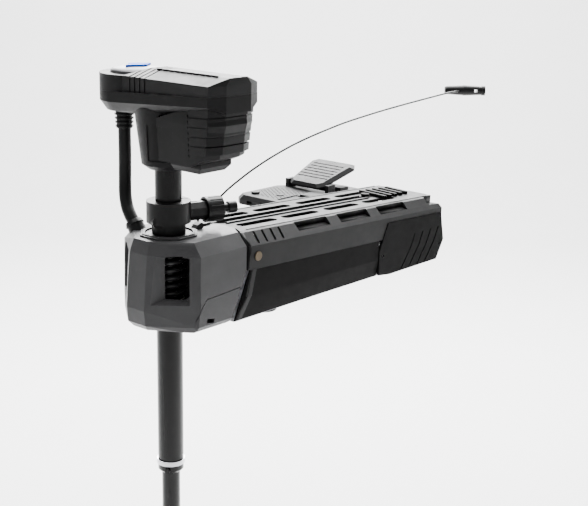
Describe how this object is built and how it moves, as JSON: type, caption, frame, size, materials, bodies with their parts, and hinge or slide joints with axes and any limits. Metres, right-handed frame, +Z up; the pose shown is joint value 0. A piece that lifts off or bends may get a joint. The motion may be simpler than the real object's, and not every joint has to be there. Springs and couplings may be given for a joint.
{
  "type": "bow-mount trolling motor",
  "caption": "Electric trolling motor on a bow deck mount, with tilting front block, depth-adjustable mast, steering head, steered drive pod with propeller, pull cord and wireless foot pedal.",
  "frame": {"origin": "on the deck, at the centre of the mount's four deck bolts", "axes": "+X along the mount towards the stern, +Y across the boat to the side away from the square end of the head, +Z up; the propeller's axis is along X at rest"},
  "size_m": [1.155, 0.675, 1.5485],
  "materials": {
    "mount_plastic": "fine grain",
    "dark_plastic": "fine grain",
    "block_paint": "satin powder coat",
    "black_anodised": "satin",
    "black_plastic": "satin",
    "black_rubber": "matt",
    "aluminium": "brushed",
    "steel": "satin",
    "chrome": "polished",
    "silver_disc": "satin silver",
    "bronze": "satin",
    "bearing_plastic": "satin",
    "copper_core": "wound",
    "board_green": "board",
    "pedal_grey": "grained"
  },
  "bodies": {
    "mount": {"base_rail": "aluminium", "deck_pads": "black_rubber", "top_cover": "mount_plastic", "side_panel_left": "dark_plastic", "side_panel_right": "dark_plastic", "rear_cover_left": "dark_plastic", "rear_cover_right": "dark_plastic", "cover_discs": "bronze", "panel_screws": "steel", "hinge_pin": "steel", "rear_rest": "dark_plastic", "rear_end_cap": "dark_plastic", "latch_keeper": "steel", "power_gland": "black_rubber", "pull_cord": "black_plastic", "pedal_base": "pedal_grey"},
    "block": {"block_housing": "block_paint", "block_bottom": "block_paint", "lower_trim_left": "block_paint", "lower_trim_right": "block_paint", "top_bezel": "block_paint", "mast_bush": "bearing_plastic", "coil_spring": "steel", "hinge_tongue": "block_paint", "cable_gland": "black_rubber", "cord_grommet": "black_plastic"},
    "seat": {"spring_seat": "black_plastic"},
    "latch": {"latch_bolt": "steel"},
    "tab": {"release_tab": "block_paint"},
    "collar": {"depth_collar": "black_plastic"},
    "knob": {"clamp_knob": "black_plastic"},
    "mast": {"outer_tube": "black_anodised", "head_lower_case": "dark_plastic", "head_top_cover": "mount_plastic", "steering_housing": "dark_plastic", "housing_cap": "dark_plastic", "steering_motor": "steel", "control_board": "board_green", "cable_boot": "black_rubber", "head_cable": "black_rubber", "head_screws": "steel", "tube_end_ring": "chrome", "shaft_bushes": "bearing_plastic"},
    "steer": {"inner_shaft": "black_anodised", "steering_gear": "bearing_plastic", "thrust_collar": "black_anodised", "pod_housing": "black_anodised", "nose_cone": "black_anodised", "rear_cap": "black_anodised", "stator_magnets": "steel", "pod_bearings": "steel"},
    "pinion": {"drive_pinion": "bearing_plastic"},
    "idler": {"idler_gear": "bearing_plastic"},
    "indicator": {"indicator_disc": "silver_disc"},
    "prop": {"armature": "copper_core", "propeller": "black_plastic", "prop_nut": "steel"},
    "handle": {"pull_handle": "black_plastic"},
    "treadle": {"pedal_treadle": "pedal_grey"},
    "button": {"pedal_button": "pedal_grey"}
  },
  "joints": [
    {"name": "tilt", "type": "hinge", "parent": "mount", "child": "block", "pos_m": [-0.226, 0, 0.13], "axis": [0, 1, 0], "range_deg": [0, 90], "deforming": ["pull_cord"]},
    {"name": "seat_travel", "type": "slide", "parent": "block", "child": "seat", "axis": [0, 0, -1], "range_m": [0, 0.008], "stiffness_N_per_m": 12000, "springref_m": -0.002, "deforming": ["coil_spring"]},
    {"name": "latch_slide", "type": "slide", "parent": "block", "child": "latch", "axis": [-1, 0, 0], "range_m": [0, 0.008]},
    {"name": "tab_pull", "type": "hinge", "parent": "block", "child": "tab", "pos_m": [-0.314, 0, 0.14], "axis": [0, 1, 0], "range_deg": [0, 10], "stiffness_Nm_per_rad": 0.4},
    {"name": "collar_slide", "type": "slide", "parent": "block", "child": "collar", "axis": [0, 0, 1], "range_m": [0, 0.04]},
    {"name": "knob_turn", "type": "hinge", "parent": "collar", "child": "knob", "pos_m": [-0.37, 0, 0.181], "axis": [0.9397, -0.342, 0], "range_deg": [-360, 360]},
    {"name": "depth", "type": "slide", "parent": "block", "child": "mast", "axis": [0, 0, 1], "range_m": [-0.035, 0.238], "deforming": ["head_cable"]},
    {"name": "steer", "type": "hinge", "parent": "mast", "child": "steer", "pos_m": [-0.37, 0, 0], "axis": [0, 0, 1], "range_deg": [-180, 180]},
    {"name": "pinion_spin", "type": "hinge", "parent": "mast", "child": "pinion", "pos_m": [-0.37, -0.052, 0.345], "axis": [0, 0, 1], "range_deg": [-760, 760]},
    {"name": "idler_spin", "type": "hinge", "parent": "mast", "child": "idler", "pos_m": [-0.37, 0.035, 0.35], "axis": [0, 0, 1], "range_deg": [-306, 306]},
    {"name": "indicator_turn", "type": "hinge", "parent": "mast", "child": "indicator", "pos_m": [-0.37, 0.07, 0.36], "axis": [0, 0, 1], "range_deg": [-180, 180]},
    {"name": "prop_spin", "type": "hinge", "parent": "steer", "child": "prop", "pos_m": [-0.37, 0, -0.988], "axis": [1, 0, 0], "continuous": true},
    {"name": "handle_drop", "type": "slide", "parent": "mount", "child": "handle", "axis": [0, 0, -1], "range_m": [0, 0.17]},
    {"name": "treadle_rock", "type": "hinge", "parent": "mount", "child": "treadle", "pos_m": [0.494, 0.437, 0.032], "axis": [0, 1, 0], "range_deg": [-6, 18]},
    {"name": "button_press", "type": "slide", "parent": "mount", "child": "button", "axis": [0, 0, -1], "range_m": [0, 0.002], "stiffness_N_per_m": 400}
  ],
  "couplings": [
    {"joint": "latch_slide", "follows": "tab_pull", "m_per_rad": 0.04579},
    {"joint": "pinion_spin", "follows": "steer", "ratio": -4.2},
    {"joint": "idler_spin", "follows": "steer", "ratio": -1.6923},
    {"joint": "indicator_turn", "follows": "steer", "ratio": 1},
    {"joint": "handle_drop", "follows": "tilt", "m_per_rad": 0.1}
  ]
}
